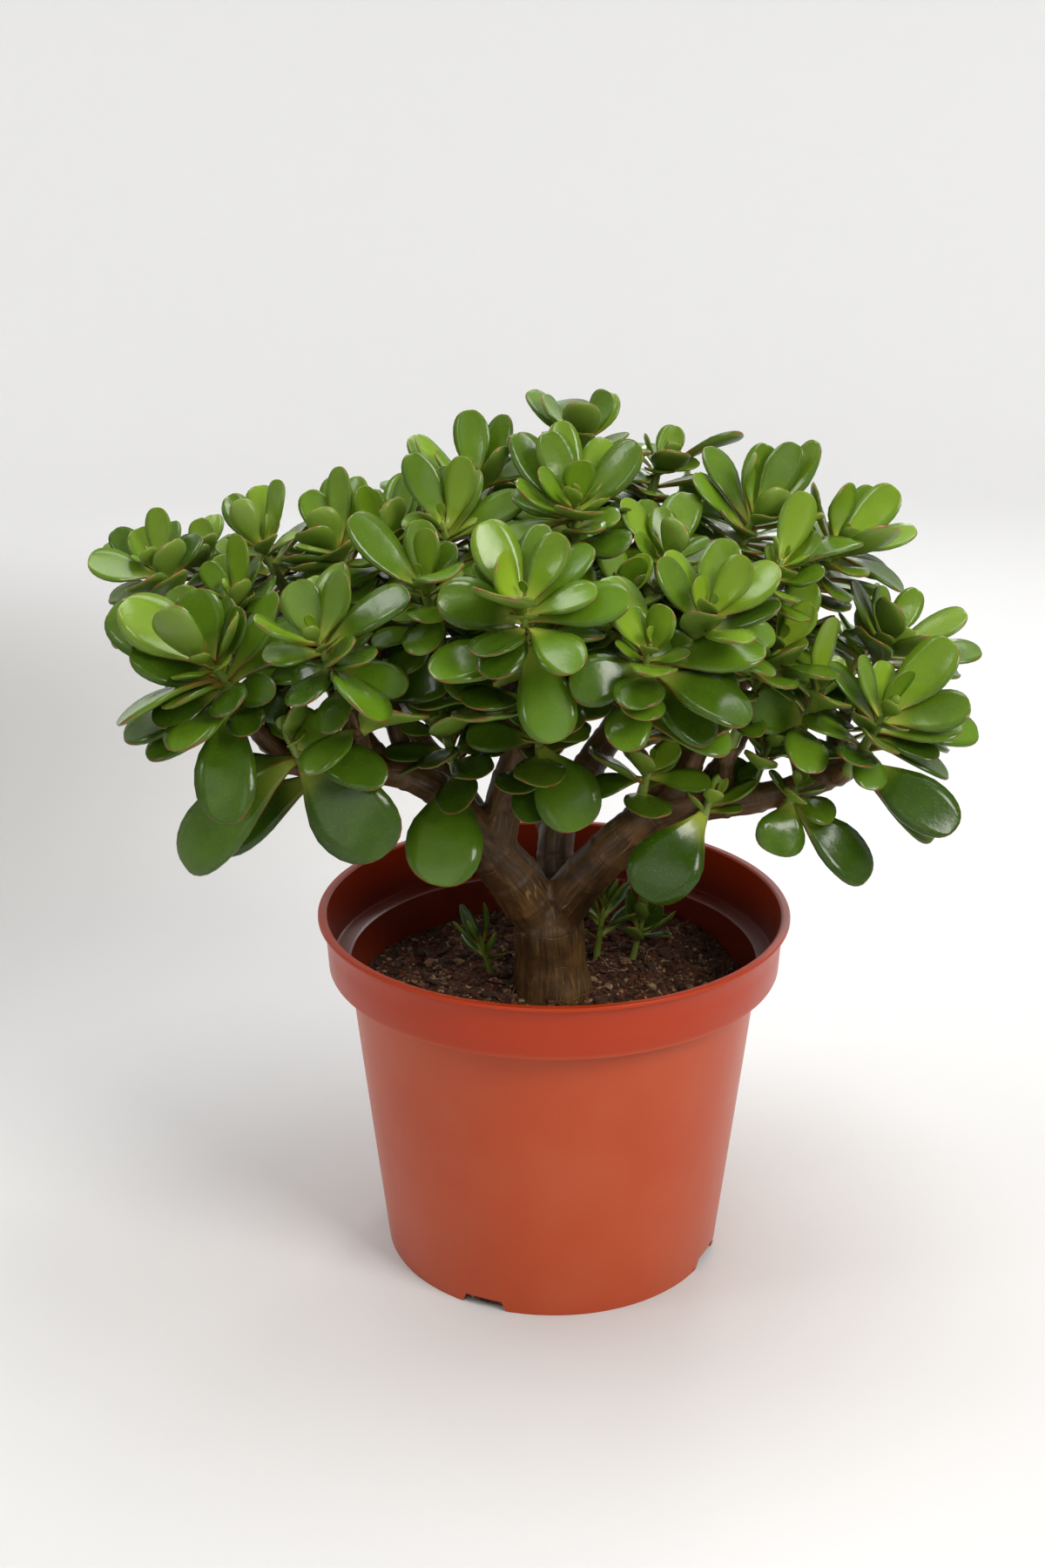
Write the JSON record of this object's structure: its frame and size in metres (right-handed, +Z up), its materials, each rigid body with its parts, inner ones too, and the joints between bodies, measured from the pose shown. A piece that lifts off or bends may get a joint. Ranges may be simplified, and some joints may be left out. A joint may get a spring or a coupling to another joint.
{
  "type": "potted jade plant",
  "caption": "Jade plant with a forked woody trunk and a wide crown of thick spoon-shaped leaves, standing in the soil of a round plastic nursery pot.",
  "frame": {"origin": "centre of the pot's underside, on the surface that it stands on", "axes": "+Z up along the pot's axis, -Y towards the viewer, +X to the viewer's right"},
  "size_m": [0.4855, 0.3419, 0.5011],
  "materials": {
    "terracotta_plastic": "injection-moulded polypropylene, satin",
    "potting_soil": "loose dark peat with pale fibres",
    "bark": "smooth brown-grey skin with ring scars",
    "leaf": "glossy waxy green with a thin red-brown margin"
  },
  "bodies": {
    "root": {"pot": "terracotta_plastic", "soil": "potting_soil", "trunk_and_limbs": "bark", "head_far_1": "leaf", "head_far_10": "leaf", "head_far_11": "leaf", "head_far_12": "leaf", "head_far_2": "leaf", "head_far_3": "leaf", "head_far_4": "leaf", "head_far_5": "leaf", "head_far_6": "leaf", "head_far_7": "leaf", "head_far_8": "leaf", "head_far_9": "leaf", "head_front_centre": "leaf", "head_front_centre_inner": "leaf", "head_front_left": "leaf", "head_front_mid": "leaf", "head_front_right": "leaf", "head_front_right_low": "leaf", "head_left_back": "leaf", "head_left_far": "leaf", "head_left_front": "leaf", "head_left_inner": "leaf", "head_left_top": "leaf", "head_mid_left": "leaf", "head_mid_left_top": "leaf", "head_mid_right": "leaf", "head_mid_top": "leaf", "head_right_back": "leaf", "head_right_far": "leaf", "head_right_front": "leaf", "head_right_inner": "leaf", "head_right_mid": "leaf", "head_right_top": "leaf", "head_top": "leaf", "head_top_front": "leaf", "head_top_left": "leaf", "head_top_right": "leaf", "leaf_left_limb": "leaf", "leaf_right_limb": "leaf", "seedling_left": "leaf", "seedling_right": "leaf", "seedling_right_low": "leaf", "shoot_centre": "leaf", "shoot_left_limb": "leaf", "shoot_left_low": "leaf", "shoot_middle": "leaf", "shoot_right_front": "leaf", "shoot_right_limb": "leaf", "shoot_right_low": "leaf"}
  },
  "joints": []
}
